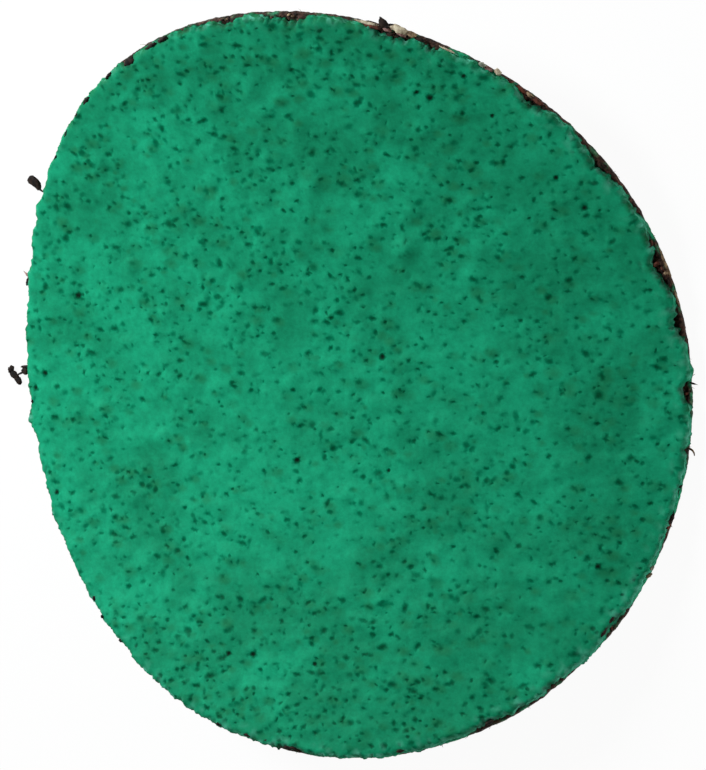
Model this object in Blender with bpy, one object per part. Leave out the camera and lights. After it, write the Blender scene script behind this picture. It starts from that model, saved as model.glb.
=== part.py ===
"""A used 3 inch sanding disc: a coarse green abrasive coat bonded to a brown cloth backing.

The disc is drawn flat, as it was die cut, with x and y across it and z up from its back. Then it is curled about
the x axis, the way shrinking resin bends such a disc: the grit side is the inside of a shallow trough, and the
disc rests on the lowest strip of its back. Lengths are in metres and angles in degrees.
"""

import math
import random

import bmesh
import bpy
from mathutils.geometry import delaunay_2d_cdt

# The disc as it was cut
DISC_DIAMETER = 0.0762
BACKING_THICKNESS = 0.0006
COAT_THICKNESS = 0.0006
BOND_GAP = 0.00002

# The grains that stand out of the coat. A tip or a valley is at least or at most this share of the highest
GRAIN_PITCH = 0.0022
GRAIN_HEIGHT = 0.0003
GRAIN_JITTER = 0.22
MISSING_GRAINS = 0.15
LOWEST_TIP = 0.45
HIGHEST_VALLEY = 0.25

# The curl: the radius of the back face, made of flat strips
CURL_RADIUS = 0.081
STRIP_WIDTH = 0.0032

# The cut edge of both layers. A wave of the cut has its count round the disc, its share and its phase
EDGE_POINTS = 360
CUT_WAVINESS = 0.00012
CUT_WAVES = ((2, 0.4, -1.6), (3, 0.3, 2.6), (4, 1.0, -0.4), (5, 0.5, -2.2))
COAT_SETBACK = 0.00003
COAT_RAGGEDNESS = 0.00015
EDGE_THINNING = 0.3

# Where the coat has broken away at its edge: angle from +x towards +y, length along the edge, depth
CHIPS = (
    (116, 0.0020, 0.0006),
    (108, 0.0020, 0.0003),
    (96, 0.0030, 0.0006),
    (86, 0.0050, 0.0006),
    (70, 0.0046, 0.0006),
    (64, 0.0020, 0.0004),
    (48, 0.0030, 0.0005),
    (36, 0.0022, 0.0004),
    (18, 0.0044, 0.0006),
    (10, 0.0026, 0.0004),
    (1, 0.0024, 0.0006),
    (-7, 0.0012, 0.0004),
    (-20, 0.0014, 0.0003),
    (-34, 0.0030, 0.0005),
    (-47, 0.0024, 0.0004),
    (-52, 0.0034, 0.0003),
    (-58, 0.0040, 0.0004),
    (-92, 0.0044, 0.0004),
)
CHIP_SQUARENESS = 3

SEED = 36
WELD = 1e-6

RADIUS = DISC_DIAMETER / 2
FOLD_ANGLE = 2 * math.asin(STRIP_WIDTH / 2 / CURL_RADIUS)
FOLDS_EACH_SIDE = math.ceil(RADIUS / STRIP_WIDTH)
COAT_BOTTOM = BACKING_THICKNESS + BOND_GAP
COAT_TOP = COAT_BOTTOM + COAT_THICKNESS


def clear_scene():
    for item in list(bpy.data.objects):
        bpy.data.objects.remove(item, do_unlink=True)


def material(name, colour, roughness):
    made = bpy.data.materials.new(name)
    made.use_nodes = True
    shader = made.node_tree.nodes["Principled BSDF"]
    shader.inputs["Base Color"].default_value = (*colour, 1)
    shader.inputs["Roughness"].default_value = roughness
    made.diffuse_color = (*colour, 1)
    return made


def edge_angles():
    return [2 * math.pi * i / EDGE_POINTS for i in range(EDGE_POINTS)]


def backing_outline():
    """The radius of the cut at each edge point: a circle with the slight waviness of a worn die."""
    return [
        RADIUS + CUT_WAVINESS * sum(share * math.sin(n * angle + phase) for n, share, phase in CUT_WAVES)
        for angle in edge_angles()
    ]


def chip_depth(angle):
    """How far the chips cut in at this angle. Each one has steep ends and a nearly flat floor."""
    depth = 0
    for centre, length, deepest in CHIPS:
        away = math.remainder(angle - math.radians(centre), 2 * math.pi) * RADIUS
        share = min(1, abs(away) / (length / 2))
        depth = max(depth, deepest * (1 - share**CHIP_SQUARENESS))
    return depth


def coat_outline(dice):
    """The radius of the coat at each edge point: just inside the backing, ragged, with the chips out of it."""
    return [
        radius - COAT_SETBACK - chip_depth(angle) - COAT_RAGGEDNESS * dice.random() ** 2
        for radius, angle in zip(backing_outline(), edge_angles())
    ]


def flat_layer(outline, bottom, top):
    """A flat layer with this outline, with an edge along each line where the curl folds it."""
    mesh = bmesh.new()
    bmesh.ops.create_circle(mesh, cap_ends=True, segments=EDGE_POINTS, radius=1)
    mesh.verts.ensure_lookup_table()
    for vertex, angle, radius in zip(mesh.verts, edge_angles(), outline):
        vertex.co = (radius * math.cos(angle), radius * math.sin(angle), bottom)
    for fold in range(-FOLDS_EACH_SIDE, FOLDS_EACH_SIDE):
        line = (0, (fold + 0.5) * STRIP_WIDTH, 0)
        whole = mesh.verts[:] + mesh.edges[:] + mesh.faces[:]
        bmesh.ops.bisect_plane(mesh, geom=whole, dist=WELD, plane_co=line, plane_no=(0, 1, 0))
    lid = bmesh.ops.extrude_face_region(mesh, geom=mesh.faces[:], use_keep_orig=True)
    for item in lid["geom"]:
        if isinstance(item, bmesh.types.BMVert):
            item.co.z = top
    return mesh


def grain_points(outline, dice):
    """(x, y, height) of each grain tip and of the valleys between them, on a jittered triangular lattice."""
    step = GRAIN_PITCH / math.sqrt(3)
    rows = math.ceil(RADIUS / step * 2 / math.sqrt(3))
    points = []
    for row in range(-rows, rows + 1):
        for column in range(-2 * rows, 2 * rows + 1):
            is_tip = (column - row) % 3 == 0
            x = (column + row / 2 + GRAIN_JITTER * dice.uniform(-1, 1)) * step
            y = (row * math.sqrt(3) / 2 + GRAIN_JITTER * dice.uniform(-1, 1)) * step
            is_grain = is_tip and dice.random() > MISSING_GRAINS
            share = dice.uniform(LOWEST_TIP, 1) if is_grain else dice.uniform(0, HIGHEST_VALLEY)
            nearest = round(math.atan2(y, x) / (2 * math.pi) * EDGE_POINTS) % EDGE_POINTS
            if math.hypot(x, y) < outline[nearest] - step / 2:
                points.append((x, y, share * GRAIN_HEIGHT))
    return points


def lay_grains(mesh, outline, dice):
    """Takes the flat lid off the coat and closes it with the grainy surface, down to the same edge."""
    lid = [face for face in mesh.faces if all(vertex.co.z > COAT_TOP - WELD for vertex in face.verts)]
    bmesh.ops.delete(mesh, geom=lid, context="FACES")
    rim = [vertex for vertex in mesh.verts if vertex.co.z > COAT_TOP - WELD]
    rim.sort(key=lambda vertex: math.atan2(vertex.co.y, vertex.co.x))
    for vertex in rim:
        vertex.co.z -= COAT_THICKNESS * EDGE_THINNING * dice.random()
    grains = grain_points(outline, dice)
    flat = [vertex.co.xy for vertex in rim] + [(x, y) for x, y, _ in grains]
    inside = [list(range(len(rim)))]
    places, _, faces, sources, _, _ = delaunay_2d_cdt(flat, [], inside, 1, WELD)
    vertices = []
    for place, source in zip(places, sources):
        if source[0] < len(rim):
            vertices.append(rim[source[0]])
        else:
            vertices.append(mesh.verts.new((*place, COAT_TOP + grains[source[0] - len(rim)][2])))
    for face in faces:
        mesh.faces.new([vertices[i] for i in face])


def curl(mesh):
    """Bends the flat layer about the x axis, strip by strip, so that the middle strip stays flat at z = 0."""
    flat_height = CURL_RADIUS * math.cos(FOLD_ANGLE / 2)
    for vertex in mesh.verts:
        strip, share = divmod(vertex.co.y / STRIP_WIDTH + 0.5, 1)
        near = FOLD_ANGLE * (strip - 0.5)
        far = near + FOLD_ANGLE
        radius = CURL_RADIUS - vertex.co.z / math.cos(FOLD_ANGLE / 2)
        vertex.co.y = radius * ((1 - share) * math.sin(near) + share * math.sin(far))
        vertex.co.z = flat_height - radius * ((1 - share) * math.cos(near) + share * math.cos(far))


def finish(name, mesh, surface, collection):
    bmesh.ops.recalc_face_normals(mesh, faces=mesh.faces[:])
    data = bpy.data.meshes.new(name)
    mesh.to_mesh(data)
    mesh.free()
    data.materials.append(surface)
    collection.objects.link(bpy.data.objects.new(name, data))


def cloth_backing(collection):
    mesh = flat_layer(backing_outline(), 0, BACKING_THICKNESS)
    curl(mesh)
    finish("cloth_backing", mesh, material("brown cloth", (0.062, 0.032, 0.018), 0.8), collection)


def abrasive_coat(collection):
    dice = random.Random(SEED)
    outline = coat_outline(dice)
    mesh = flat_layer(outline, COAT_BOTTOM, COAT_TOP)
    lay_grains(mesh, outline, dice)
    curl(mesh)
    finish("abrasive_coat", mesh, material("green abrasive", (0.008, 0.238, 0.114), 0.55), collection)


def main():
    clear_scene()
    collection = bpy.data.collections.new("sanding_disc")
    bpy.context.scene.collection.children.link(collection)
    cloth_backing(collection)
    abrasive_coat(collection)


main()
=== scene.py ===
"""A used coarse sanding disc, for Blender 4.5: a green grit coat on brown cloth, curled and chipped at its edge.

Laid out as an add-on and run as a script. Lengths are in metres and +Z is up. Every piece is drawn on the flat
disc first, with x and y across it and z up from its back, and then curled about the x axis as the solids are.
"""

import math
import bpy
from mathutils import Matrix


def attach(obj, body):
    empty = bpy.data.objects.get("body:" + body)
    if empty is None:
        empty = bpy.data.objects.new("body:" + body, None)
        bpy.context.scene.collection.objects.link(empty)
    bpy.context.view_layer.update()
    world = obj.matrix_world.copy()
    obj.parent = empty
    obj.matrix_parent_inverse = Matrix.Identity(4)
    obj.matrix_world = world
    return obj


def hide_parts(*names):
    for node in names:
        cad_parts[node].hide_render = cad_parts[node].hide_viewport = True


bl_info = {
    "name": "Used sanding disc",
    "version": (1, 0, 0),
    "blender": (4, 5, 0),
    "location": "3D View > Sidebar > Disc",
    "description": "Builds a curled sanding disc with a pitted green grit coat on a brown twill backing",
    "category": "Add Mesh",
}

import bpy
import numpy as np
from bpy.props import FloatProperty, FloatVectorProperty, PointerProperty, StringProperty
from mathutils import Matrix, Vector, kdtree, noise
from mathutils.geometry import delaunay_2d_cdt

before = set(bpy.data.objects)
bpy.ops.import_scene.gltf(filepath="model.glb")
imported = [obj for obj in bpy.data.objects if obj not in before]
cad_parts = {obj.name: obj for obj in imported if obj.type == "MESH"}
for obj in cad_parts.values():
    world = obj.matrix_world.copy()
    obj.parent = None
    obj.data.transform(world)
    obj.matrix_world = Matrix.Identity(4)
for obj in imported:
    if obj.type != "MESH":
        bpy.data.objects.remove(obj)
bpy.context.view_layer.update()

MM = 0.001
TURN = 2 * math.pi
WHITE = (1, 1, 1, 1)
BODY = "root"
CLOTH_NODE = "cloth_backing"
COAT_NODE = "abrasive_coat"

# The photograph's frame, where the middle of the grit falls in it, and how long its lens is
PICTURE_WIDTH, PICTURE_HEIGHT = 706, 770
MIDDLE_PIXEL = (320.8, 383.3)
FOCAL_PIXELS = 1716
SENSOR_MM = 36


def node_points(name):
    return np.array([vertex.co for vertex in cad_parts[name].data.vertices], float)


def curl_radius(points):
    """The radius of the curl, from how far out and how high it carries the outermost corner."""
    reach, height = points[np.abs(points[:, 1]).argmax(), 1:]
    return (reach**2 + height**2) / (2 * height)


DISC_RADIUS = np.abs(node_points(CLOTH_NODE)[:, 0]).max()
CURL_RADIUS = curl_radius(node_points(CLOTH_NODE))


def curled(flat):
    """Bends points of the flat disc about the x axis."""
    turn = flat[:, 1] / CURL_RADIUS
    reach = CURL_RADIUS - flat[:, 2]
    return np.column_stack([flat[:, 0], reach * np.sin(turn), CURL_RADIUS - reach * np.cos(turn)])


def uncurled(points):
    """The places on the flat disc of points of the curled one."""
    turn = np.arctan2(points[:, 1], CURL_RADIUS - points[:, 2])
    reach = np.hypot(points[:, 1], CURL_RADIUS - points[:, 2])
    return np.column_stack([points[:, 0], turn * CURL_RADIUS, CURL_RADIUS - reach])


def solid_edge(name):
    """The angles and radii of the corners round the underside of a solid, on the flat disc."""
    flat = uncurled(node_points(name))
    radius = np.hypot(flat[:, 0], flat[:, 1])
    rim = (flat[:, 2] < flat[:, 2].min() + 0.05 * MM) & (radius > 0.9 * DISC_RADIUS)
    angle = np.arctan2(flat[rim, 1], flat[rim, 0]) % TURN
    order = np.argsort(angle)
    return angle[order], radius[rim][order]


CLOTH_EDGE = solid_edge(CLOTH_NODE)
COAT_EDGE = solid_edge(COAT_NODE)
CLOTH_TOP = uncurled(node_points(CLOTH_NODE))[:, 2].max()
COAT_BOTTOM = uncurled(node_points(COAT_NODE))[:, 2].min()

# How far apart the corners round a rim are, and how many rows go down the wall of each piece
RIM_SPACING = 0.16 * MM
COAT_ROWS, CLOTH_ROWS = 4, 5

# The grid that thins the points of pores, and the turn of the ribs of the back
PORE_CELL = 0.09 * MM
TWILL_TURN = math.radians(28)

# Seeds of the random draws, and how many are made for loose crumbs and loose fibres
COAT_SEED, CLOTH_SEED, BITS_SEED = 36, 7, 11
CRUMB_TRIES, LOOSE_FIBRES = 600, 26

# The floor: half its side, its depth under the disc, and how much of what the camera sees is plain white
FLOOR_HALF_SIDE, FLOOR_DROP, FLOOR_GLOW = 3.0, 0.02 * MM, 0.95

# Bare dark grains that stand out in the green: x, y and half width in mm
DARK_GRAINS = (
    (7.0, 3.0, 0.34), (-3.2, -8.3, 0.36), (15.7, 29.2, 0.34), (14.5, 29.8, 0.22),
    (19.5, 31.2, 0.22), (21.5, 27.2, 0.2), (26.8, 21.1, 0.24), (29.2, 18.2, 0.26),
    (-29.7, 8.5, 0.42), (-35.4, -0.5, 0.32), (-37.0, -2.3, 0.26), (37.5, -4.6, 0.24),
    (7.4, -8.6, 0.2), (-9.8, -29.3, 0.26), (-6.8, -29.0, 0.3), (0.5, -29.1, 0.24),
    (29.8, -16.1, 0.28), (-34.1, -14.1, 0.3),
)

# Patches where the coat is drawn paler, or darker where the last number is below zero: x, y and reach in mm, and
# how much paler it is
PALER_AND_DARKER_PATCHES = (
    (-13, 21, 15, 0.45),
    (3, -15, 15, 0.25),
    (20, 11, 10, -0.2),
)

# Where green resin runs down over the cut of the cloth: from and to which angle, in degrees
GREEN_OVER_CUT = (
    (2, 6), (23, 26), (58.5, 61.5), (118, 152), (158, 170), (174, 184), (189, 203), (207, 266),
    (274, 287), (294, 298), (317, 323), (330, 338), (342, 350), (354, 358),
)

# Lumps and dents of the outline: angle and half width in degrees, and how far out in mm
OUTLINE_LUMPS = (
    (4, 1.2, 0.2), (142, 3.0, 0.15), (151, 2.0, 0.3), (160, 2.0, -0.2), (164, 1.2, 0.2),
    (168, 1.6, -0.2), (189, 3.2, 0.5), (206, 3.6, 0.35), (284, 4.0, 0.1), (308, 8.0, 0.1),
    (326, 6.0, 0.12),
)

# Where more of the coat has broken away than its solid shows: angle and half width in degrees, and depth in mm
COAT_BITES = (
    (23.5, 2.2, 0.35), (20.0, 2.6, 0.55), (11.5, 2.4, 0.6), (35.0, 5.0, 0.25), (28.5, 3.0, 0.2),
    (102.5, 5.0, 0.25),
)

# Bits that still hold to the edge: angle in degrees, then in mm how far its middle is out, its length, width and
# thickness and its height over the back, its turn in degrees from straight out, its taper and its material
EDGE_BITS = (
    (148.0, 1.36, 2.0, 1.15, 0.5, 0.45, 155, 0.45, "burnt"),
    (164.1, 0.75, 1.0, 0.34, 0.3, 0.5, -27, 0.8, "mauve"),
    (165.2, 0.45, 1.15, 0.46, 0.4, 0.55, 75, 0.1, "burnt"),
    (165.0, 0.1, 0.7, 0.4, 0.4, 0.65, 80, 0.0, "burnt"),
    (171.8, 0.05, 0.6, 0.35, 0.3, 0.7, 85, 0.3, "tan"),
    (180.2, 0.75, 1.6, 0.5, 0.4, 0.55, 0, 0.5, "burnt"),
    (180.8, 0.9, 1.05, 0.95, 0.45, 0.55, 20, 0.1, "burnt"),
    (180.8, 3.05, 0.95, 0.8, 0.5, 0.4, 60, 0.0, "burnt"),
    (181.7, 2.6, 1.3, 0.88, 0.5, 0.4, 130, 0.0, "burnt"),
    (182.6, 2.1, 1.1, 0.75, 0.45, 0.4, 130, 0.1, "burnt"),
    (185.9, -0.1, 0.7, 0.3, 0.4, 0.9, 80, 0.3, "burnt"),
    (156.6, -0.05, 0.5, 0.3, 0.4, 0.9, 90, 0.2, "burnt"),
    (205.5, 0.4, 0.6, 0.42, 0.35, 0.7, 10, 0.3, "burnt"),
    (73.7, 0.25, 2.2, 0.3, 0.35, 0.85, 88, 0.1, "cream"),
    (72.6, 0.0, 2.4, 0.35, 0.5, 0.85, 90, 0.0, "rust"),
    (71.2, 0.62, 1.2, 1.05, 0.5, 0.9, 35, 0.5, "burnt"),
    (70.4, 0.5, 0.9, 0.45, 0.4, 0.9, -60, 0.3, "burnt"),
    (70.5, 0.15, 0.8, 0.5, 0.5, 0.9, 85, 0.0, "mauve"),
    (68.8, 0.42, 1.6, 0.75, 0.7, 0.85, 82, 0.0, "cream"),
    (68.4, 0.05, 0.9, 0.4, 0.45, 0.9, 85, 0.0, "mauve"),
    (67.0, 0.3, 1.0, 0.55, 0.5, 0.8, 85, 0.1, "tan"),
    (65.9, 0.08, 1.4, 0.35, 0.4, 0.8, 88, 0.2, "burnt"),
    (61.7, 0.12, 1.4, 0.2, 0.25, 0.8, 88, 0.2, "cream"),
    (56.4, 0.28, 0.7, 0.42, 0.45, 0.8, 80, 0.1, "grey"),
    (55.5, 0.15, 0.95, 0.4, 0.45, 0.7, 88, 0.2, "mauve"),
    (54.1, 0.34, 0.65, 0.55, 0.5, 0.7, 60, 0.1, "cream"),
    (50.8, 0.02, 2.2, 0.45, 0.5, 0.6, 90, 0.0, "rust"),
    (48.9, 0.06, 0.8, 0.4, 0.4, 0.6, 85, 0.0, "tan"),
    (47.4, 0.04, 1.3, 0.45, 0.5, 0.6, 90, 0.0, "rust"),
    (19.4, 0.03, 2.8, 0.3, 0.4, 0.4, 90, 0.1, "tan"),
    (14.5, 0.02, 1.6, 0.24, 0.4, 0.45, 90, 0.2, "tan"),
    (22.6, -0.35, 0.9, 0.45, 0.5, 0.75, 60, 0.1, "rust"),
    (19.8, -0.65, 0.7, 0.45, 0.45, 0.75, 20, 0.1, "rust"),
    (2.4, 0.33, 0.75, 0.2, 0.2, 0.6, -15, 0.8, "burnt"),
    (348.0, 0.02, 0.55, 0.3, 0.45, 0.8, 92, 0.2, "burnt"),
    (335.5, 0.08, 0.55, 0.35, 0.4, 0.8, 85, 0.1, "grey"),
    (334.3, 0.1, 0.65, 0.42, 0.45, 0.6, 60, 0.2, "tan"),
    (343.2, 0.06, 1.2, 0.42, 0.5, 0.9, 88, 0.1, "burnt"),
    (342.0, 0.0, 0.8, 0.4, 0.5, 0.8, 80, 0.1, "rust"),
)

# Burnt crumbs stuck along the rim of the coat: angle in degrees, then how far out, length and width in mm
RIM_CRUMBS = (
    (107.6, -0.04, 1.3, 0.4), (110.3, -0.12, 1.6, 0.36), (115.3, -0.38, 1.5, 0.85),
    (120.5, -0.12, 1.0, 0.36), (127.4, -0.14, 1.1, 0.48), (130.9, -0.2, 0.7, 0.32),
    (135.2, -0.18, 1.0, 0.25), (140.4, -0.22, 0.6, 0.25), (186.0, -0.3, 0.5, 0.3),
    (222.4, -0.36, 0.65, 0.5), (225.9, -0.02, 0.5, 0.4), (231.4, -0.14, 0.45, 0.34),
    (255.2, -0.05, 0.6, 0.35), (260.8, -0.25, 0.9, 0.35), (264.4, -0.4, 0.8, 0.35),
    (268.7, -0.25, 1.5, 0.35), (287.3, -0.1, 0.9, 0.35), (302.0, -0.14, 0.9, 0.4),
    (323.9, -0.24, 1.0, 0.3), (326.1, -0.42, 0.7, 0.34),
)

# The height over the back and the thickness, in mm, that all rim crumbs share
RIM_CRUMB_HEIGHT, RIM_CRUMB_THICKNESS = 1.16, 0.5

# Hairs and necks that stand out of the edge: thickness in mm, material, then for each point its angle, and in mm
# how far out it is and its height
EDGE_HAIRS = (
    (0.24, "burnt", (148.4, 0.8, 0.5), (148.4, 0.4, 0.55), (148.1, -0.15, 0.7)),
    (0.3, "burnt", (181.0, 1.1, 0.5), (181.3, 1.6, 0.45), (181.7, 2.4, 0.4)),
    (0.2, "tan", (353.3, -0.05, 0.5), (353.2, 0.42, 0.6), (352.8, 0.62, 0.55), (352.4, 0.66, 0.45)),
)


class CoatSettings(bpy.types.PropertyGroup):
    """The green grit coat."""

    green: StringProperty(name="Green", description="Size coat over the grains, sRGB hex", default="148C62")
    # The thick and thin greens are a darker and a paler copy of the green. The coat is drawn between them for
    # random tone and for painted shade towards its top, bottom and +x edges.
    thick: StringProperty(name="Thick green", description="Where more resin was left, sRGB hex", default="12805A")
    thin: StringProperty(name="Thin green", description="Where less resin was left, sRGB hex", default="17956C")
    # The pore side and pore floor colours darken the green in the pores: painted shade in the pits, along with the
    # real resin sunk between grains.
    pore_side_stain_and_shade: StringProperty(name="Pore side", description="Stain half down a pore, sRGB hex", default="59CCC6")
    pore: StringProperty(name="Pore floor", description="Stain on the floor of a pore, sRGB hex", default="009B91")
    dark_grain: StringProperty(name="Dark grain", description="Bare dark grain, sRGB hex", default="08160E")
    # The dust and lee shade colour darkens soft patches on the lee side of grains, away from the lamp, as painted
    # shade with some dust, and a band along the rim, which is dirt.
    grime: StringProperty(name="Grime", description="Dust on the lee side of a grain, sRGB hex", default="1A6038")
    # The wear and painted light colour paints the rubbed edge pale: real wear, with painted light that is
    # strongest on the side away from the lamp.
    scuff: StringProperty(name="Scuff", description="Rubbed resin at the edge, sRGB hex", default="58B296")
    thickness: FloatProperty(
        name="Thickness", description="From the cloth to the level of the resin", default=0.0007, unit="LENGTH"
    )
    spacing: FloatProperty(
        name="Mesh spacing", description="Between points of the plain surface", default=0.00033, unit="LENGTH"
    )
    grain_pitch: FloatProperty(
        name="Grain pitch", description="Between one buried grain and the next", default=0.0017, unit="LENGTH"
    )
    grain_height: FloatProperty(
        name="Grain height", description="Of the highest grain over the resin", default=0.00024, unit="LENGTH"
    )
    pore_pitch: FloatProperty(
        name="Pore pitch", description="Between one place for a pore and the next", default=0.00098, unit="LENGTH"
    )
    pore_depth: FloatProperty(
        name="Pore depth", description="Of the deepest pore", default=0.00006, unit="LENGTH"
    )


class ClothSettings(bpy.types.PropertyGroup):
    """The brown twill backing."""

    brown: StringProperty(name="Brown", description="Resin filled cloth, sRGB hex", default="5A3A2A")
    burnt: StringProperty(name="Burnt", description="Dark resin at the cut, sRGB hex", default="231814")
    rust: StringProperty(name="Rust", description="Red brown resin at the cut, sRGB hex", default="573C31")
    fibre: StringProperty(name="Fibre", description="Bare cotton fibre, sRGB hex", default="A8957E")
    rib_pitch: FloatProperty(
        name="Rib pitch", description="Between one twill rib and the next", default=0.0008, unit="LENGTH"
    )
    rib_depth: FloatProperty(
        name="Rib depth", description="Of the groove between two ribs", default=0.00005, unit="LENGTH"
    )


class StageSettings(bpy.types.PropertyGroup):
    """The floor, the lights and the camera."""

    floor: StringProperty(name="Floor", description="Paper sweep, sRGB hex", default="F4F4F2")
    lamp_place: FloatVectorProperty(
        name="Lamp", description="Place of the lamp", default=(-0.117, 0.098, 0.129), subtype="XYZ", unit="LENGTH"
    )
    lamp_size: FloatProperty(name="Lamp size", description="Side of the soft box", default=0.07, unit="LENGTH")
    lamp_power: FloatProperty(name="Lamp power", description="Of the soft box", default=0.545, unit="POWER")
    lamp_tint: StringProperty(name="Lamp tint", description="A little cool, sRGB hex", default="F2FAFF")
    card_place: FloatVectorProperty(
        name="Card",
        description="Place of the white card",
        default=(0.34, -0.05, 0.036),
        subtype="XYZ",
        unit="LENGTH",
    )
    card_size: FloatProperty(name="Card size", description="Side of the white card", default=0.07, unit="LENGTH")
    card_power: FloatProperty(
        name="Card power", description="That the card throws back", default=0.26, unit="POWER"
    )
    fill: FloatProperty(name="Fill", description="Strength of the light from above", default=0.1)
    wall_light: FloatProperty(name="Wall light", description="Strength of the light from low down", default=1.3)
    fill_tint: StringProperty(name="Fill tint", description="A little warm, sRGB hex", default="FFFBEE")
    tilt: FloatProperty(
        name="Tilt", description="Of the camera from straight above", default=math.radians(31.45), subtype="ANGLE"
    )
    azimuth: FloatProperty(
        name="Azimuth", description="Side that the camera leans to", default=math.radians(19.55), subtype="ANGLE"
    )
    distance: FloatProperty(
        name="Distance", description="Camera to the middle of the grit", default=0.1733, unit="LENGTH"
    )
    target: FloatProperty(
        name="Target height", description="Of the middle of the grit over the floor", default=0.0016, unit="LENGTH"
    )


def colour(hex_text):
    """Linear RGBA of an sRGB hex colour."""
    parts = [int(hex_text[i : i + 2], 16) / 255 for i in (0, 2, 4)]
    return (*(c / 12.92 if c <= 0.04045 else ((c + 0.055) / 1.055) ** 2.4 for c in parts), 1)


def times(value, share):
    """A linear colour made this many times as bright."""
    return (*(c * share for c in value[:3]), 1)


def add(owner, kind, inputs=None, stops=None, **settings):
    """Adds a shader node to a material or world. An input is a value or another node's output, and stops are the
    places and colours along a colour ramp."""
    tree = owner.node_tree
    node = tree.nodes.new("ShaderNode" + kind)
    for name, value in settings.items():
        setattr(node, name, value)
    for name, value in (inputs or {}).items():
        if isinstance(value, bpy.types.NodeSocket):
            tree.links.new(value, node.inputs[name])
        else:
            node.inputs[name].default_value = value
    if stops:
        elements = node.color_ramp.elements
        while len(elements) < len(stops):
            elements.new(0.5)
        for element, (place, value) in zip(elements, stops):
            element.position, element.color = place, value
    return node


def link(owner, output, node, name):
    owner.node_tree.links.new(output, node.inputs[name])


def new_material(name, roughness, specular):
    """A material, its shader with these plain values, and the place on the object in metres."""
    material = bpy.data.materials.new(name)
    material.use_nodes = True
    shader = material.node_tree.nodes["Principled BSDF"]
    shader.inputs["Roughness"].default_value = roughness
    shader.inputs["Specular IOR Level"].default_value = specular
    return material, shader, add(material, "TexCoord").outputs["Object"]


def clamp(values):
    return np.clip(values, 0, 1)


def waves(points, size, seed):
    """Smooth noise between -1 and 1 at points of the flat disc, with lumps about this many mm wide."""
    size = size * MM
    return np.array([noise.noise((x / size, y / size, seed)) for x, y in points])


def piece(name, points, faces, material, replaces=None, slot=None, **attributes):
    """A mesh piece of the disc: its points are curled, it rides with the body, and each attribute has one number
    a point for the material to read, given in parts that follow each other."""
    mesh = bpy.data.meshes.new(name)
    mesh.from_pydata(curled(points).tolist(), [], faces)
    mesh.update()
    mesh.shade_smooth()
    mesh.materials.append(material)
    for key, values in attributes.items():
        attribute = mesh.attributes.new(key, "FLOAT", "POINT")
        attribute.data.foreach_set("value", np.concatenate(values).astype(np.float32))
    made = bpy.data.objects.new(name, mesh)
    bpy.context.scene.collection.objects.link(made)
    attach(made, BODY)
    if replaces:
        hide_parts(replaces)


def ring(angles, radii, heights):
    return np.column_stack([radii * np.cos(angles), radii * np.sin(angles), heights])


def rim_of(solid, out):
    """The angles of the corners round a rim, their places on a plain circle, and their radii: those of the solid
    with the lumps of the outline, this many mm further out."""
    count = int(TURN * DISC_RADIUS / RIM_SPACING)
    angles = np.arange(count) * TURN / count
    radii = np.interp(angles, *solid, period=TURN) + lumps(angles, OUTLINE_LUMPS) + out * MM
    return angles, ring(angles, DISC_RADIUS, np.zeros(count))[:, :2], radii


def angles_of(points):
    return np.arctan2(points[:, 1], points[:, 0]) % TURN


def lattice(radius, step_x, step_y, turn=0.0, jitter=0.0, dice=None):
    """Points of a triangular lattice over a circle."""
    columns = int(radius / step_x * 1.5) + 2
    rows = int(radius / step_y * 1.5) + 2
    i, j = np.meshgrid(np.arange(-columns, columns + 1), np.arange(-rows, rows + 1))
    x = (i + 0.5 * (j % 2)) * step_x
    y = j * step_y
    if jitter:
        x = x + dice.uniform(-jitter, jitter, x.shape) * step_x
        y = y + dice.uniform(-jitter, jitter, y.shape) * step_y
    c, s = math.cos(turn), math.sin(turn)
    points = np.column_stack([x.ravel(), y.ravel()]) @ np.array([[c, s], [-s, c]])
    return points[np.hypot(points[:, 0], points[:, 1]) < radius]


def along_rim(points, angles, values):
    """What the rim has at the angle of each point."""
    return np.interp(angles_of(points), angles, values, period=TURN)


def inset_of(points, angles, radii):
    """How far each point lies inside the outline."""
    return along_rim(points, angles, radii) - np.hypot(points[:, 0], points[:, 1])


def fade(inset, width):
    """From 1 at the outline to 0 this many mm inside of it."""
    return clamp(1 - inset / (width * MM))


def bare_cloth(angles):
    """How wide a strip of cloth the coat leaves bare at each angle, beyond its usual setback."""
    strip = np.interp(angles, *CLOTH_EDGE, period=TURN) - np.interp(angles, *COAT_EDGE, period=TURN)
    return np.clip(strip - 0.15 * MM, 0, None)


def tree_of(points):
    tree = kdtree.KDTree(len(points))
    for i, (x, y) in enumerate(points):
        tree.insert((x, y, 0), i)
    tree.balance()
    return tree


def spans_share(angles, spans):
    """How much each angle is in one of these spans of degrees: 1 inside, fading out within one degree."""
    share = np.zeros(len(angles))
    for start, end in spans:
        away = np.abs(np.degrees(angles) - (start + end) / 2) - (end - start) / 2
        share = np.maximum(share, clamp(0.5 - away))
    return share


def lumps(angles, table):
    """How far the lumps and dents in this table move the outline at each angle."""
    moved = np.zeros(len(angles))
    for middle, half, out in table:
        share = clamp(np.abs(np.degrees(angles) - middle) / half)
        moved += out * MM * (1 - share**2) ** 2
    return moved


def thinned(points, taken, apart):
    """The points that are at least this far from the taken ones."""
    tree = tree_of(taken)
    return points[[tree.find((x, y, 0))[2] > apart for x, y in points]]


def triangulated(rim, points):
    """Delaunay triangles over the rim loop and the points in it, as rows of indices: the rim first."""
    flat = [Vector((x / MM, y / MM)) for x, y in np.vstack([rim[:, :2], points[:, :2]])]
    _, _, faces, sources, _, _ = delaunay_2d_cdt(flat, [], [list(range(len(rim)))], 1, 1e-7)
    index = [source[0] if source else -1 for source in sources]
    return [[index[i] for i in face] for face in faces if all(index[i] >= 0 for i in face)]


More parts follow.
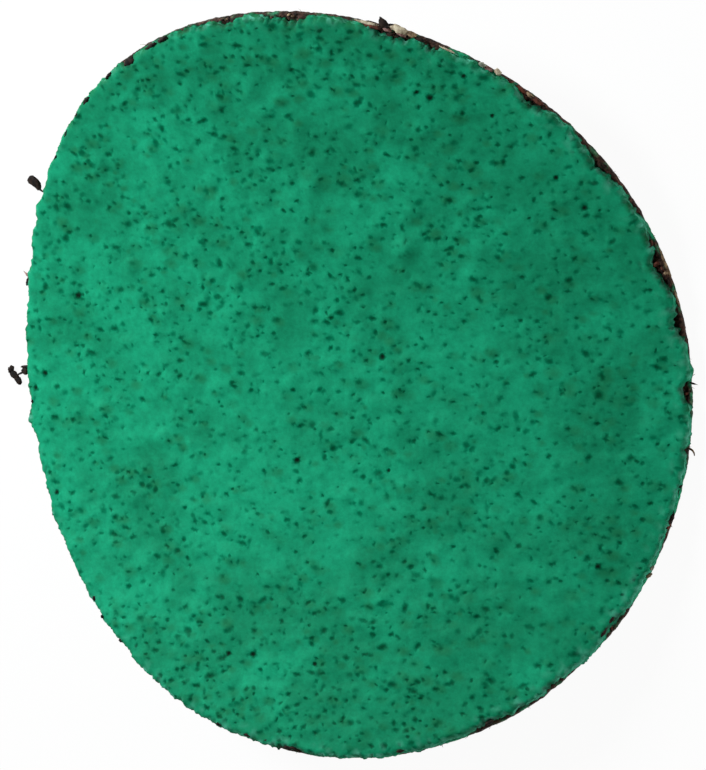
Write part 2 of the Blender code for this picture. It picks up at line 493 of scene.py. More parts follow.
def slab(loops, top, bottom):
    """Points and faces of a closed slab: a top inside the first loop, a wall down the loops, and a bottom inside
    the last. Its points are the first loop, the top, the other loops and the bottom, in that order."""
    count = len(loops[0])
    starts = np.cumsum([0, count, len(top)] + [count] * (len(loops) - 1) + [len(bottom)]).tolist()
    rings = [list(range(count))] + [list(range(start, start + count)) for start in starts[2 : len(loops) + 1]]
    under = rings[-1] + list(range(starts[len(loops) + 1], starts[-1]))
    faces = triangulated(loops[0], top)
    faces += [[under[i] for i in reversed(face)] for face in triangulated(loops[-1], bottom)]
    for upper, lower in zip(rings, rings[1:]):
        for i in range(count):
            j = (i + 1) % count
            faces.append([upper[i], lower[i], lower[j], upper[j]])
    return np.vstack([loops[0], top, *loops[1:], bottom]), faces


def green_size_coat(coat, cloth):
    """Mineral grains under a cured, pigmented resin size coat, roller coated and matt: a saturated green drawn
    between a darker and a paler copy, for random tone and for painted shade towards the top, bottom and +x edges;
    darker in the pores, as painted shade in the pits along with real resin sunk between grains; darker on the lee
    side of grains, away from the lamp, as painted shade with some dust; rubbed pale along the edge, real wear with
    painted light on the side away from the lamp; and broken down to burnt resin along the edge."""
    material, shader, place = new_material("cured green size coat over mineral grit", 0.6, 0.03)
    green, dust_and_painted_shade = colour(coat.green), colour(coat.grime)
    lean, level, dust, wear_and_light_amount, broken = (
        add(material, "Attribute", attribute_name=name).outputs["Fac"]
        for name in ("lean", "pore", "grime", "scuff", "broken")
    )
    fine = add(material, "TexNoise", {"Vector": place, "Scale": 1 / (0.8 * MM), "Detail": 5.0, "Roughness": 0.78})
    # The coat is drawn between a darker and a paler green: random tone, with painted shade towards the top, bottom
    # and +x edges
    tone_and_painted_light = add(material, "ValToRGB", {"Fac": lean}, stops=[(0, colour(coat.thick)), (1, colour(coat.thin))])
    mottle = add(
        material,
        "ValToRGB",
        {"Fac": fine.outputs["Fac"]},
        stops=[(0.3, times(WHITE, 0.8)), (0.7, times(WHITE, 1.18))],
    )
    base = add(
        material,
        "Mix",
        {0: 1.0, 6: tone_and_painted_light.outputs["Color"], 7: mottle.outputs["Color"]},
        data_type="RGBA",
        blend_type="MULTIPLY",
    )
    specks = add(material, "TexNoise", {"Vector": place, "Scale": 1 / (0.3 * MM), "Detail": 2.0})
    torn = add(
        material,
        "ValToRGB",
        {"Fac": specks.outputs["Fac"]},
        stops=[(0.42, colour(cloth.burnt)), (0.58, times(green, 0.22)), (0.7, times(green, 0.5))],
    )
    ragged = add(material, "MapRange", {"Value": specks.outputs["Fac"], 3: 0.6, 4: 1.4})
    pore = add(material, "Math", {0: level, 1: ragged.outputs[0]}, operation="MULTIPLY")
    # Pores are drawn darker, half down and on their floor: painted shade in the pits, along with the real resin
    # sunk between grains
    stain_and_painted_lighting = add(
        material,
        "ValToRGB",
        {"Fac": pore.outputs[0]},
        stops=[(0, WHITE), (0.5, colour(coat.pore_side_stain_and_shade)), (1, colour(coat.pore))],
    )
    # Patches on the lee side of grains are darkened as painted shade with some dust, and a band along the rim as
    # dirt
    base = add(material, "Mix", {0: dust, 6: base.outputs[2], 7: dust_and_painted_shade}, data_type="RGBA")
    base = add(
        material,
        "Mix",
        {0: 1.0, 6: base.outputs[2], 7: stain_and_painted_lighting.outputs["Color"]},
        data_type="RGBA",
        blend_type="MULTIPLY",
    )
    bare = add(material, "Math", {0: level, 1: 1.0}, operation="SUBTRACT", use_clamp=True).outputs[0]
    # The rubbed edge is drawn pale: real wear with painted light
    layers = ((bare, colour(coat.dark_grain)), (wear_and_light_amount, colour(coat.scuff)), (broken, torn.outputs["Color"]))
    for amount, layer in layers:
        base = add(material, "Mix", {0: amount, 6: base.outputs[2], 7: layer}, data_type="RGBA")
    link(material, base.outputs[2], shader, "Base Color")
    grit = add(material, "TexNoise", {"Vector": place, "Scale": 1 / (0.22 * MM), "Detail": 3.0, "Roughness": 0.6})
    bump = add(material, "Bump", {"Height": grit.outputs["Fac"], "Strength": 0.7, "Distance": 0.03 * MM})
    link(material, bump.outputs["Normal"], shader, "Normal")
    return material


def resin_filled_twill(cloth, coat):
    """Cotton and polyester twill filled with phenolic resin: dull brown, ribbed on the back, with painted shade
    darkening the grooves between the ribs, burnt nearly black along the cut, with a few bare fibres where the
    resin has broken off, and green where the coat still reaches the edge, partly drawn paler than the coat's own
    green as painted light on the cut."""
    material, shader, place = new_material("brown resin filled twill cloth", 0.8, 0.15)
    brown = colour(cloth.brown)
    cloud = add(material, "TexNoise", {"Vector": place, "Scale": 1 / (3 * MM), "Detail": 4.0, "Roughness": 0.65})
    back = add(
        material,
        "ValToRGB",
        {"Fac": cloud.outputs["Fac"]},
        stops=[(0.3, times(brown, 0.7)), (0.7, times(brown, 1.25))],
    )
    patch = add(material, "TexNoise", {"Vector": place, "Scale": 1 / (0.4 * MM), "Detail": 3.0, "Roughness": 0.7})
    edge = add(
        material,
        "ValToRGB",
        {"Fac": patch.outputs["Fac"]},
        stops=[(0.42, colour(cloth.burnt)), (0.54, times(colour(cloth.rust), 0.5)), (0.66, colour(cloth.rust)),
               (0.78, colour(cloth.fibre))],
    )
    # Green resin over the cut, drawn up to 1.6 times as bright as the coat's own green: real resin, with painted
    # light on the cut wall
    stain_and_painted_lighting = add(
        material,
        "ValToRGB",
        {"Fac": patch.outputs["Fac"]},
        stops=[(0.4, times(colour(coat.green), 0.7)), (0.62, times(colour(coat.green), 1.6))],
    )
    layers = (
        ("cut", edge.outputs["Color"]),
        ("stained", stain_and_painted_lighting.outputs["Color"]),
        # The grooves between the twill ribs are drawn darker: painted shade
        ("groove", times(brown, 0.45)),
    )
    base = back.outputs["Color"]
    for name, layer in layers:
        amount = add(material, "Attribute", attribute_name=name).outputs["Fac"]
        base = add(material, "Mix", {0: amount, 6: base, 7: layer}, data_type="RGBA").outputs[2]
    link(material, base, shader, "Base Color")
    hairs = add(material, "TexNoise", {"Vector": place, "Scale": 1 / (0.15 * MM), "Detail": 2.0})
    bump = add(material, "Bump", {"Height": hairs.outputs["Fac"], "Strength": 0.5, "Distance": 0.03 * MM})
    link(material, bump.outputs["Normal"], shader, "Normal")
    return material


def broken_bits(name, low, high):
    """Crumbs of burnt resin, grit or bare fibre, dull and uneven between two colours."""
    material, shader, place = new_material(name, 0.75, 0.15)
    patch = add(material, "TexNoise", {"Vector": place, "Scale": 1 / (0.45 * MM), "Detail": 4.0})
    base = add(
        material, "ValToRGB", {"Fac": patch.outputs["Fac"]}, stops=[(0.38, colour(low)), (0.62, colour(high))]
    )
    link(material, base.outputs["Color"], shader, "Base Color")
    return material


def buried_grains(coat, dice):
    """The grains under the resin, one row each: x, y, reach, height, and how much it leans along x and y."""
    seeds = lattice(DISC_RADIUS, coat.grain_pitch, coat.grain_pitch * 0.87, 0.35, 0.38, dice)
    count = len(seeds)
    reach = coat.grain_pitch * dice.uniform(0.5, 1.05, count)
    high = coat.grain_height * dice.uniform(0.1, 1, count) ** 1.5 * reach / coat.grain_pitch
    lean = dice.normal((0.45, -0.2), 0.35, (count, 2))
    return np.column_stack([seeds, reach, high, lean])


def grain_relief(points, grains):
    """How far the buried grains lift the resin at each point: low leaning domes that run into each other."""
    tree = tree_of(points)
    lift = np.zeros(len(points))
    for x, y, reach, high, lean_x, lean_y in grains:
        for place, i, _ in tree.find_range((x, y, 0), reach * 1.25):
            u, v = (place[0] - x) / (reach * 1.2), (place[1] - y) / reach
            share = u * u + v * v
            if share < 1:
                lift[i] += high * (1 + lean_x * u + lean_y * v) * (1 - share) ** 2
    return lift


def pore_field(coat, grains, dice):
    """The pores, one row each: x, y, half length, half width, turn and darkness. There is one in the lee of each
    tall grain, on the side away from the lamp, where its darkness is partly painted shade standing in for the
    shadow of the grain. The rest crowd in drifts with calm patches between, as grit falls. They are more and
    darker towards
    +x and near the -y edge."""
    tall = grains[grains[:, 3] > np.quantile(grains[:, 3], 0.7)]
    off = dice.uniform(0.25, 0.6, len(tall)) * tall[:, 2]
    side = dice.normal(-0.3, 0.6, len(tall))
    lee = tall[:, :2] + np.column_stack([off * np.cos(side), off * np.sin(side)])
    loose = lattice(DISC_RADIUS, coat.pore_pitch, coat.pore_pitch * 0.87, 0.2, 0.48, dice)
    crowd = 0.68 + 0.9 * waves(loose, 5, 3.1) + 0.5 * waves(loose, 2, 8.7)
    crowd += 0.16 * loose[:, 0] / DISC_RADIUS + 0.4 * clamp(-3 * loose[:, 1] / DISC_RADIUS - 2)
    loose = thinned(loose[dice.random(len(loose)) < np.clip(crowd, 0.16, 1)], lee, 0.45 * MM)
    centres = np.vstack([lee, loose])
    count = len(centres)
    size = np.clip(0.185 * np.exp(dice.normal(0, 0.28, count)), 0.12, 0.36) * MM
    size *= 1 - 0.12 * centres[:, 0] / DISC_RADIUS
    aspect = np.sqrt(np.clip(1.25 + np.abs(dice.normal(0, 0.8, count)), 1, 3.2))
    dark = 1.35 * dice.beta(1.4, 2.5, count) * (0.6 + 0.4 * size / (0.2 * MM))
    dark *= 1 + 0.05 * centres[:, 0] / DISC_RADIUS + 0.7 * clamp(-3 * centres[:, 1] / DISC_RADIUS - 2)
    dark = np.clip(dark, 0.14, 1)
    turn = np.where(dice.random(count) < 0.7, dice.normal(0.1, 0.4, count), dice.uniform(0, math.pi, count))
    return np.column_stack([centres, size * aspect, size / aspect, turn, dark])


def pore_points(pores, dice):
    """Mesh points for every pore: its middle and two rings, with one point at most in each cell of a grid."""
    sides = 6
    around = np.arange(sides) * TURN / sides
    x, y, long, short, turn = (pores[:, k, None] for k in range(5))
    points = [pores[:, :2]]
    for share in (0.6, 1.45):
        wobble = share * dice.uniform(0.85, 1.15, (len(pores), sides))
        spin = around + dice.uniform(0, 1, (len(pores), 1))
        u, v = np.cos(spin) * wobble * long, np.sin(spin) * wobble * short
        c, s = np.cos(turn), np.sin(turn)
        points.append(np.stack([x + u * c - v * s, y + u * s + v * c], -1).reshape(-1, 2))
    points = np.vstack(points)
    cells = np.unique(np.round(points / PORE_CELL), axis=0, return_index=True)[1]
    return points[np.sort(cells)]


def pore_level(points, pores):
    """How far down in a pore each point is, from 0 at its lip to its darkness on its floor, where the deepest of
    the pores that meet there counts. Their lips wander a little."""
    wander = 1 + 0.45 * waves(points, 0.3, 2.9)
    tree = tree_of(points)
    level = np.zeros(len(points))
    for x, y, long, short, turn, dark in pores:
        c, s = math.cos(turn), math.sin(turn)
        for place, i, _ in tree.find_range((x, y, 0), long * 2):
            u, v = place[0] - x, place[1] - y
            share = math.hypot((u * c + v * s) / long, (v * c - u * s) / short) * wander[i]
            level[i] = max(level[i], dark * min(1, max(0, 1.5 - share)))
    return level


def lip_grains(pores, dice):
    """A small grain on the lamp side of each pore, which catches the light: rows as of the buried grains."""
    count = len(pores)
    before = np.column_stack([dice.uniform(-0.5, -0.3, count), dice.normal(0.15, 0.12, count)]) * MM
    reach = dice.uniform(0.3, 0.55, count) * MM
    high = dice.uniform(0.025, 0.13, count) * pores[:, 5] * MM
    return np.column_stack([pores[:, :2] + before, reach, high, np.full(count, 0.4), np.full(count, -0.2)])


def lee_dust_and_shade(points, pores, dice):
    """How much darker each point is drawn, in soft patches on the lee side of the darker pores, away from the
    lamp: painted shade, with some settled dust.
    """
    tree = tree_of(points)
    grime = np.zeros(len(points))
    dusty = pores[dice.random(len(pores)) < 0.5 * pores[:, 5], :2]
    side = np.column_stack([dice.normal(0.4, 0.15, len(dusty)), dice.normal(-0.2, 0.15, len(dusty))]) * MM
    for x, y in dusty + side:
        wide, strength = dice.uniform(0.45, 1.1) * MM, dice.uniform(0.1, 0.6)
        for place, i, _ in tree.find_range((x, y, 0), wide):
            share = ((place[0] - x) ** 2 + ((place[1] - y) * 1.5) ** 2) / wide**2
            if share < 1:
                grime[i] = max(grime[i], strength * (1 - share))
    return grime


def build_coat(coat, cloth):
    """The closed green coat: a ragged rim, a top with its grains and pores, and a flat base on the cloth."""
    dice = np.random.default_rng(COAT_SEED)
    angles, edge, radii = rim_of(COAT_EDGE, 0.08)
    count = len(angles)
    radii += 0.15 * MM * waves(edge, 2.2, 1.5) + 0.12 * MM * waves(edge, 0.9, 5.5)
    bared, bites = bare_cloth(angles), lumps(angles, COAT_BITES)
    chipped = clamp((bared + bites) / (0.3 * MM))
    radii += (0.1 + 0.22 * chipped) * MM * waves(edge, 0.35, 8.5)
    radii += bared * np.where(angles > math.pi, 0.5, 0.2) - bites

    grains = buried_grains(coat, dice)
    pores = pore_field(coat, grains, dice)
    bare = np.array(DARK_GRAINS) * MM
    bare = np.column_stack([bare, bare[:, 2] * 0.8, np.full(len(bare), 0.6), np.full(len(bare), 2.0)])
    grains = np.vstack([grains, lip_grains(pores, dice)])
    pits = np.vstack([pores, bare])
    near = pore_points(pits, dice)
    near = near[inset_of(near, angles, radii) > 0.15 * MM]
    plain = lattice(DISC_RADIUS, coat.spacing, coat.spacing * 0.87, 0.2, 0.25, dice)
    plain = thinned(plain[inset_of(plain, angles, radii) > 0.14 * MM], near, 0.14 * MM)
    flat = np.vstack([near, plain])
    pore = pore_level(flat, pits)
    inset = inset_of(flat, angles, radii)

    top = COAT_BOTTOM + coat.thickness + grain_relief(flat, grains) - coat.pore_depth * clamp(pore)
    top += 0.04 * MM * waves(flat, 6, 2.2) + 0.02 * MM * waves(flat, 0.5, 4.4)
    # lean picks the coat's green between its darker and paler copy: random tone and the listed patches
    lean = 0.5 + 1.1 * waves(flat, 7, 2.8) + 0.65 * waves(flat, 2.6, 5.8)
    for x, y, reach, paler in PALER_AND_DARKER_PATCHES:
        away = np.hypot(flat[:, 0] - x * MM, flat[:, 1] - y * MM) / (reach * MM)
        lean += paler * clamp(1 - away**2) ** 2
    # lean is lowered towards the top and bottom edges and towards +x, away from the lamp: painted shade drawn into
    # the green
    lean -= 0.5 * (flat[:, 1] / DISC_RADIUS) ** 2 + 0.2 * clamp(flat[:, 0] / DISC_RADIUS) - 0.12
    near_rim = fade(inset, 1.3)
    top += near_rim * (0.1 * MM * waves(flat, 0.9, 6.6) + 0.12 * MM * waves(flat, 0.4, 6.8))
    top -= 0.2 * coat.thickness * fade(inset, 0.3) ** 1.5
    knobs = 0.35 * waves(edge, 0.9, 7.7) + 0.3 * waves(edge, 0.35, 7.9)
    rim_top = COAT_BOTTOM + coat.thickness * np.clip(0.7 + knobs, 0.3, 1)
    loops, rows = [ring(angles, radii, rim_top)], COAT_ROWS
    for row in range(1, rows + 1):
        slope = 0.08 * MM * row / rows + 0.22 * MM * waves(edge + row * 0.25 * MM, 0.4, 9.0)
        loops.append(ring(angles, radii + slope, rim_top + (COAT_BOTTOM - rim_top) * row / rows))
    base = lattice(DISC_RADIUS, 2.5 * MM, 2.2 * MM)
    base = base[inset_of(base, angles, radii) > 0.6 * MM]
    points, faces = slab(
        loops, np.column_stack([flat, top]), np.column_stack([base, np.full(len(base), COAT_BOTTOM)])
    )

    whole = spans_share(angles, GREEN_OVER_CUT)
    patches = clamp(0.35 + 1.6 * waves(edge, 1.6, 11.0)) * (1 - whole)
    torn = along_rim(flat, angles, np.maximum(0.8 * chipped, 0.35 * patches))
    blots = clamp(0.4 + 2.5 * waves(flat, 0.5, 12.0))
    broken = [patches * 0.4 + chipped * 0.5, fade(inset, 0.25) * torn * blots]
    broken += [clamp(0.6 * patches + chipped + 0.35 * (row - 3.4)) for row in range(1, rows + 1)]
    # away is how far the rim faces away from the lamp. The pale rubbed resin near the rim is real wear, drawn
    # stronger on that side as painted light on the shaded edge and wall.
    away = np.cos(angles + 0.7)
    rubbed = clamp(1.2 - inset / (1.2 * MM)) * clamp(2.5 * waves(flat, 0.8, 13.0) - 0.3)
    rubbed *= along_rim(flat, angles, np.clip(0.3 + 0.25 * away, 0.1, 1))
    rim_wear_and_painted_light = [
        clamp(0.1 + 0.35 * away + 1.8 * waves(edge + row * 0.3 * MM, 0.6, 13.0))
        for row in range(rows + 1)
    ]
    dirty_rim = np.clip(0.3 - 0.4 * away + 1.4 * waves(edge, 0.8, 15.0), 0, 0.85)
    # The rim band, strongest on the lamp side, is dirt; the patches on the lee side of grains are painted shade
    # with some dust
    dust_and_painted_shade = along_rim(flat, angles, dirty_rim) * fade(inset, 0.5)
    dust_and_painted_shade = np.maximum(dust_and_painted_shade, lee_dust_and_shade(flat, pores, dice))
    unseen = np.zeros(rows * count + len(base))
    piece(
        "green_grit_coat",
        points,
        faces,
        green_size_coat(coat, cloth),
        COAT_NODE,
        "green_abrasive",
        lean=[np.full(count, 0.4), lean, unseen + 0.4],
        pore=[np.zeros(count), pore, unseen],
        grime=[dirty_rim, dust_and_painted_shade, *[dirty_rim] * rows, np.zeros(len(base))],
        scuff=[rim_wear_and_painted_light[0], rubbed, *rim_wear_and_painted_light[1:], np.zeros(len(base))],
        broken=[*broken, np.ones(len(base))],
    )


def twill_grooves(points, pitch, turn):
    """How deep the back is at each point, from 0 to 1: grooves between diagonal ribs, and a dip at each yarn that
    crosses them."""
    c, s = math.cos(turn), math.sin(turn)
    across = (points[:, 0] * c + points[:, 1] * s + 0.06 * MM * waves(points, 4, 21.0)) / pitch
    along = (points[:, 1] * c - points[:, 0] * s) / pitch
    rib = 0.5 - 0.5 * np.cos(TURN * across)
    crossing = 0.5 - 0.5 * np.cos(TURN * (along + 0.5 * np.round(across)))
    return rib**2 + 0.25 * crossing * (1 - rib**2)


def build_cloth(cloth, coat):
    """The closed cloth: a ribbed back, a fuzzy cut, and a front with crusts where the coat leaves it bare."""
    dice = np.random.default_rng(CLOTH_SEED)
    angles, edge, radii = rim_of(CLOTH_EDGE, 0.04)
    count = len(angles)
    radii += 0.08 * MM * waves(edge, 0.9, 31.0)
    back = lattice(DISC_RADIUS, cloth.rib_pitch / 5, cloth.rib_pitch / 2, TWILL_TURN)
    back = back[inset_of(back, angles, radii) > 0.15 * MM]
    groove = twill_grooves(back, cloth.rib_pitch, TWILL_TURN)
    front = lattice(DISC_RADIUS, 0.2 * MM, 0.17 * MM, 0.1, 0.3, dice)
    inset = inset_of(front, angles, radii)
    front = front[(inset > 0.12 * MM) & (inset < 1.7 * MM)]
    front = np.vstack([front, lattice(DISC_RADIUS - 2.2 * MM, 2.5 * MM, 2.2 * MM)])
    covered = inset_of(front, *COAT_EDGE) > 0.1 * MM
    crusts = clamp(0.3 + waves(front, 0.7, 33.0) + 0.8 * waves(front, 0.3, 34.0)) * 0.35 * MM
    front_z = CLOTH_TOP + np.where(covered, 0, crusts)
    loops, rows = [], CLOTH_ROWS
    for row in range(rows + 1):
        share = row / rows
        fuzz = 0.05 * MM * waves(edge + row * 3 * MM, 0.25, 35.0) + 0.06 * MM * waves(edge, 0.5, 36 + share)
        pinch = -0.05 * MM * (2 * share - 1) ** 4
        loops.append(ring(angles, radii + fuzz + pinch, np.full(count, CLOTH_TOP * (1 - share))))
    points, faces = slab(
        loops, np.column_stack([front, front_z]), np.column_stack([back, cloth.rib_depth * groove])
    )
    seen = count * (rows + 1) + len(front)
    intact = clamp(spans_share(angles, GREEN_OVER_CUT) + 0.9 * waves(edge, 0.9, 38.0))
    # The green resin over the cut is real; its colour is drawn partly paler than the coat's as painted light on
    # the cut wall
    stained = [intact, np.zeros(len(front))]
    stained += [intact * (1 - 0.6 * (row / rows) ** 2) for row in range(1, rows + 1)]
    piece(
        "twill_backing",
        points,
        faces,
        resin_filled_twill(cloth, coat),
        CLOTH_NODE,
        "brown_cloth",
        cut=[np.ones(seen), np.zeros(len(back))],
        stained=[*stained, np.zeros(len(back))],
        # groove also paints the grooves between the ribs darker: painted shade
        groove=[np.zeros(seen), clamp(groove * 1.2 - 0.2)],
    )


def edge_place(angle, out, height):
    """A point of the flat disc at this angle in degrees, this far outside the cut and over the back, in mm."""
    turn = math.radians(angle) % TURN
    radius = np.interp(turn, *CLOTH_EDGE, period=TURN) + out * MM
    return np.array([radius * math.cos(turn), radius * math.sin(turn), height * MM])


def crumb(place, length, width, thickness, turn, taper, seed):
    """Points and faces of one broken bit about a place: a ball pressed long, drawn thin towards one end by its
    taper, and knocked in and out by noise. Its sizes are in mm and it turns about +Z, in degrees."""
    around, along = 12, 9
    points = [(-1.0, 0.0, 0.0)]
    for k in range(1, along):
        lean = math.pi * k / along
        for i in range(around):
            spin = TURN * (i + 0.5 * (k % 2)) / around
            points.append((-math.cos(lean), math.sin(lean) * math.cos(spin), math.sin(lean) * math.sin(spin)))
    points = np.array(points + [(1.0, 0.0, 0.0)])
    last = len(points) - 1
    faces = [[0, 1 + (i + 1) % around, 1 + i] for i in range(around)]
    for k in range(along - 2):
        a, b = 1 + k * around, 1 + (k + 1) * around
        faces += [[a + i, a + (i + 1) % around, b + (i + 1) % around, b + i] for i in range(around)]
    faces += [[last, last - around + i, last - around + (i + 1) % around] for i in range(around)]
    rough = [noise.noise(Vector(p * 1.5 + seed)) + 0.5 * noise.noise(Vector(p * 3.8 + seed)) for p in points]
    points *= (1 + 0.45 * np.array(rough))[:, None]
    points[:, 1:] *= (1 - taper * points[:, :1]) / (1 + 0.3 * abs(taper))
    points *= np.array([length, width, thickness]) / 2 * MM
    c, s = math.cos(math.radians(turn)), math.sin(math.radians(turn))
    return points @ np.array([[c, s, 0], [-s, c, 0], [0, 0, 1]]) + place, faces


def hair(path, thick):
    """Points and faces of a hair or neck along a path, this many mm thick, drawn thin to its end and closed."""
    sides = 6
    points, faces = [], []
    for k, place in enumerate(path):
        ahead = path[min(k + 1, len(path) - 1)] - path[max(k - 1, 0)]
        ahead = ahead / np.linalg.norm(ahead)
        side = np.cross(ahead, (0.3, 0.2, 1.0))
        side = side / np.linalg.norm(side)
        up = np.cross(side, ahead)
        radius = thick * MM / 2 * (1 - 0.6 * (k / (len(path) - 1)) ** 2)
        for i in range(sides):
            turn = TURN * i / sides
            points.append(place + radius * (math.cos(turn) * side + math.sin(turn) * up))
    for k in range(len(path) - 1):
        for i in range(sides):
            a, j = k * sides, (i + 1) % sides
            faces.append([a + i, a + j, a + sides + j, a + sides + i])
    end = (len(path) - 1) * sides
    return np.array(points), faces + [list(range(sides))[::-1], [end + i for i in range(sides)]]


def smooth_path(corners, steps=14):
    """Points along a smooth bend through the corners."""
    corners = np.array(corners)
    where = np.linspace(0, len(corners) - 1, steps)
    line = np.column_stack([np.interp(where, np.arange(len(corners)), corners[:, k]) for k in range(3)])
    for _ in range(4):
        line[1:-1] = (line[:-2] + 2 * line[1:-1] + line[2:]) / 4
    return line


def merged(parts):
    """The points and faces of many meshes as one."""
    points, faces, start = [], [], 0
    for part_points, part_faces in parts:
        points.append(part_points)
        faces += [[i + start for i in face] for face in part_faces]
        start += len(part_points)
    return np.vstack(points), faces


def build_edge_bits(cloth):
    dice = np.random.default_rng(BITS_SEED)
    looks = {
        "burnt": ("burnt resin crumbs", "0E0A09", "2E211B"),
        "rust": ("red brown resin crumbs", "2A1712", "6A3A2C"),
        "mauve": ("dusty red resin flakes", "5E3C38", "A07C76"),
        "tan": ("bare cotton fibre tufts", "4E3B2C", "9C8468"),
        "cream": ("frayed cotton with resin dust", "8E7D68", "CFC2A8"),
        "grey": ("grey mineral grit with dust", "6E7264", "B9B5A2"),
    }
    parts = {kind: [] for kind in looks}
    for number, (angle, out, length, width, thick, height, turn, taper, kind) in enumerate(EDGE_BITS):
        place = edge_place(angle, out, height)
        parts[kind].append(crumb(place, length, width, thick, angle + turn, taper, 3.7 * number))
    for angle, out, length, width in RIM_CRUMBS:
        place = edge_place(angle, out, RIM_CRUMB_HEIGHT)
        parts["burnt"].append(crumb(place, length, width, RIM_CRUMB_THICKNESS, angle + 92, 0.1, angle))
    for thick, kind, *corners in EDGE_HAIRS:
        parts[kind].append(hair(smooth_path([edge_place(*corner) for corner in corners]), thick))
    chipped = dice.uniform(-112, 120, CRUMB_TRIES)
    chipped = chipped[bare_cloth(np.radians(chipped)) > dice.uniform(0.05, 0.5, CRUMB_TRIES) * MM]
    for number, angle in enumerate(chipped):
        kind = dice.choice(["burnt", "rust", "tan"], p=[0.7, 0.2, 0.1])
        length = dice.uniform(0.2, 0.6)
        place = edge_place(angle, dice.uniform(-0.45, 0.04), dice.uniform(0.4, 0.75))
        turn = angle + 90 + dice.normal(0, 25)
        parts[kind].append(crumb(place, length, length * 0.5, length * 0.6, turn, 0.2, 100 + 1.3 * number))
    for _ in range(LOOSE_FIBRES):
        angle, height = dice.uniform(-110, 140), dice.uniform(0.1, 0.5)
        far = (angle + dice.normal(0, 0.4), dice.uniform(0.12, 0.4), max(height + dice.normal(0, 0.1), 0.08))
        near = edge_place(angle, -0.1, height)
        middle = edge_place((angle + far[0]) / 2 + dice.normal(0, 0.1), far[1] * 0.6, height)
        parts["tan"].append(hair(smooth_path([near, middle, edge_place(*far)], 7), dice.uniform(0.03, 0.06)))
    for kind, (name, low, high) in looks.items():
        piece(name.replace(" ", "_"), *merged(parts[kind]), broken_bits(name, low, high), slot="brown_cloth")


def white_paper(stage):
    """Matt white paper sweep. Part of what the camera sees of it is plain white light, so that the paper stays
    white behind the disc while the shadow of the disc still shows on it."""
    material, shader, _ = new_material("matt white paper sweep", 0.9, 0.1)
    shader.inputs["Base Color"].default_value = colour(stage.floor)
    glow = add(material, "Emission", {"Color": WHITE, "Strength": 1.0})
    rays = add(material, "LightPath").outputs
    seen = add(material, "Math", {0: rays["Is Camera Ray"], 1: rays["Is Glossy Ray"]}, operation="MAXIMUM")
    share = add(material, "Math", {0: seen.outputs[0], 1: FLOOR_GLOW}, operation="MULTIPLY")
    mix = add(material, "MixShader", {0: share.outputs[0], 1: shader.outputs[0], 2: glow.outputs[0]})
    link(material, mix.outputs[0], material.node_tree.nodes["Material Output"], "Surface")
    return material


def build_stage(scene, stage):
    half = FLOOR_HALF_SIDE
    mesh = bpy.data.meshes.new("paper_floor")
    mesh.from_pydata([(-half, -half, 0), (half, -half, 0), (half, half, 0), (-half, half, 0)], [], [(0, 1, 2, 3)])
    mesh.materials.append(white_paper(stage))
    floor = bpy.data.objects.new("paper_floor", mesh)
    floor.location.z = -FLOOR_DROP
    scene.collection.objects.link(floor)

    world = bpy.data.worlds.new("white room")
    world.use_nodes = True
    seen = add(world, "LightPath").outputs["Is Camera Ray"]
    way = add(world, "TexCoord").outputs["Generated"]
    height = add(world, "SeparateXYZ", {"Vector": way}).outputs["Z"]
    room = add(world, "MapRange", {"Value": height, 2: 0.5, 3: stage.wall_light, 4: stage.fill})
    strength = add(world, "Mix", {0: seen, 2: room.outputs[0], 3: 1.0})
    tint = add(world, "Mix", {0: seen, 6: colour(stage.fill_tint), 7: WHITE}, data_type="RGBA")
    background = world.node_tree.nodes["Background"]
    link(world, tint.outputs[2], background, "Color")
    link(world, strength.outputs[0], background, "Strength")
    scene.world = world

    lamps = (
        ("soft_box", stage.lamp_place, stage.lamp_size, stage.lamp_power),
        ("white_card", stage.card_place, stage.card_size, stage.card_power),
    )
    for name, place, size, power in lamps:
        light = bpy.data.lights.new(name, "AREA")
        light.shape = "SQUARE"
        light.size = size
        light.energy = power
        light.color = colour(stage.lamp_tint)[:3]
        lamp = bpy.data.objects.new(name, light)
        lamp.location = place
        lamp.rotation_euler = Vector(place).to_track_quat("Z", "Y").to_euler()
        lamp.visible_camera = False
        scene.collection.objects.link(lamp)
    scene.view_settings.view_transform = "Standard"


def build_camera(scene, stage):
    """Looks at the middle of the grit from near by, leaning to one side, with the trough across the picture."""
    toward = Vector((math.cos(stage.azimuth), math.sin(stage.azimuth), 0))
    beside = Vector((-toward.y, toward.x, 0))
    upright = Vector((0, 0, 1))
    back = math.sin(stage.tilt) * toward + math.cos(stage.tilt) * upright
    plan = math.cos(stage.tilt) * toward - math.sin(stage.tilt) * upright
    right = math.cos(stage.azimuth) * plan - math.sin(stage.azimuth) * beside
    up = math.sin(stage.azimuth) * plan + math.cos(stage.azimuth) * beside
    data = bpy.data.cameras.new("camera")
    data.sensor_width = SENSOR_MM
    data.lens = FOCAL_PIXELS / PICTURE_HEIGHT * SENSOR_MM
    data.shift_x = (PICTURE_WIDTH / 2 - MIDDLE_PIXEL[0]) / PICTURE_HEIGHT
    data.shift_y = (MIDDLE_PIXEL[1] - PICTURE_HEIGHT / 2) / PICTURE_HEIGHT
    data.clip_start = 0.01
    camera = bpy.data.objects.new("camera", data)
    camera.matrix_world = Matrix([(right[k], up[k], back[k], 0) for k in range(3)] + [(0, 0, 0, 1)])
    camera.location = Vector((0, 0, stage.target)) + back * stage.distance
    scene.collection.objects.link(camera)
    scene.camera = camera


class DISC_OT_cloth(bpy.types.Operator):
    """Make the brown twill backing with its ribbed back and cut edge"""

    bl_idname = "disc.cloth"
    bl_label = "Make cloth backing"

    def execute(self, context):
        build_cloth(context.scene.disc_cloth, context.scene.disc_coat)
        return {"FINISHED"}


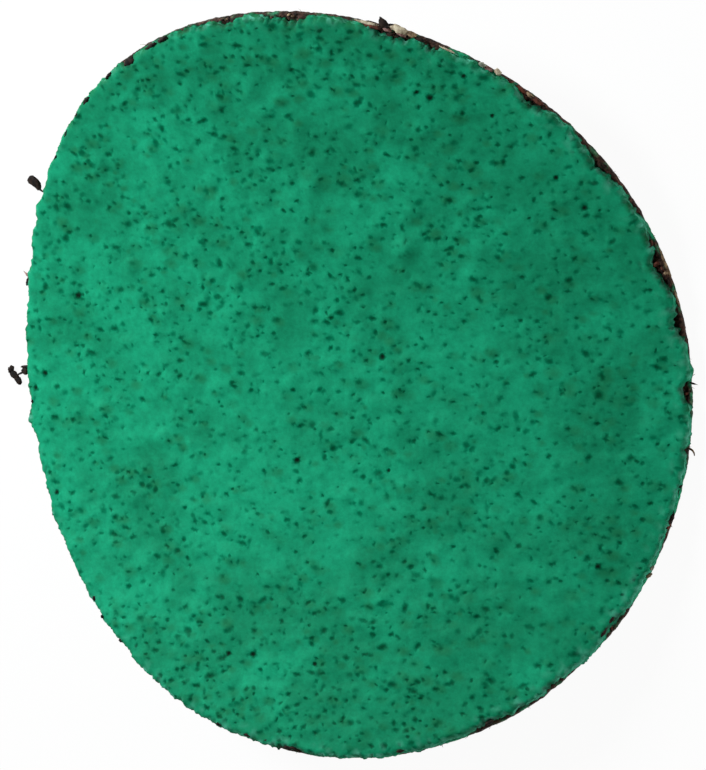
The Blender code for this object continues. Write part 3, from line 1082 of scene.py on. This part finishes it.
class DISC_OT_coat(bpy.types.Operator):
    """Make the green grit coat with its grains, pores and broken edge"""

    bl_idname = "disc.coat"
    bl_label = "Make grit coat"

    def execute(self, context):
        build_coat(context.scene.disc_coat, context.scene.disc_cloth)
        return {"FINISHED"}


class DISC_OT_edge_bits(bpy.types.Operator):
    """Make the crumbs, flakes and hairs that still hold to the edge"""

    bl_idname = "disc.edge_bits"
    bl_label = "Make edge bits"

    def execute(self, context):
        build_edge_bits(context.scene.disc_cloth)
        return {"FINISHED"}


class DISC_OT_stage(bpy.types.Operator):
    """Set the pale floor, the soft box, the white card and the camera"""

    bl_idname = "disc.stage"
    bl_label = "Set the stage"

    def execute(self, context):
        build_stage(context.scene, context.scene.disc_stage)
        build_camera(context.scene, context.scene.disc_stage)
        return {"FINISHED"}


class DISC_PT_panel(bpy.types.Panel):
    """Lists the pieces of the disc with the sizes and colours that they take"""

    bl_idname = "DISC_PT_panel"
    bl_label = "Used sanding disc"
    bl_space_type = "VIEW_3D"
    bl_region_type = "UI"
    bl_category = "Disc"

    def draw(self, context):
        for group, operators in PANEL_ROWS:
            settings = getattr(context.scene, group)
            box = self.layout.box()
            for name in settings.__annotations__:
                box.prop(settings, name)
            for operator in operators:
                box.operator(operator)


PANEL_ROWS = (
    ("disc_cloth", ("disc.cloth", "disc.edge_bits")),
    ("disc_coat", ("disc.coat",)),
    ("disc_stage", ("disc.stage",)),
)
GROUPS = {"disc_cloth": ClothSettings, "disc_coat": CoatSettings, "disc_stage": StageSettings}
CLASSES = (*GROUPS.values(), DISC_OT_cloth, DISC_OT_coat, DISC_OT_edge_bits, DISC_OT_stage, DISC_PT_panel)


def register():
    for item in CLASSES:
        bpy.utils.register_class(item)
    for name, group in GROUPS.items():
        setattr(bpy.types.Scene, name, PointerProperty(type=group))


def unregister():
    for name in GROUPS:
        delattr(bpy.types.Scene, name)
    for item in reversed(CLASSES):
        bpy.utils.unregister_class(item)


def main():
    register()
    bpy.ops.disc.cloth()
    bpy.ops.disc.coat()
    bpy.ops.disc.edge_bits()
    bpy.ops.disc.stage()
    bpy.context.view_layer.update()


if __name__ == "__main__":
    main()
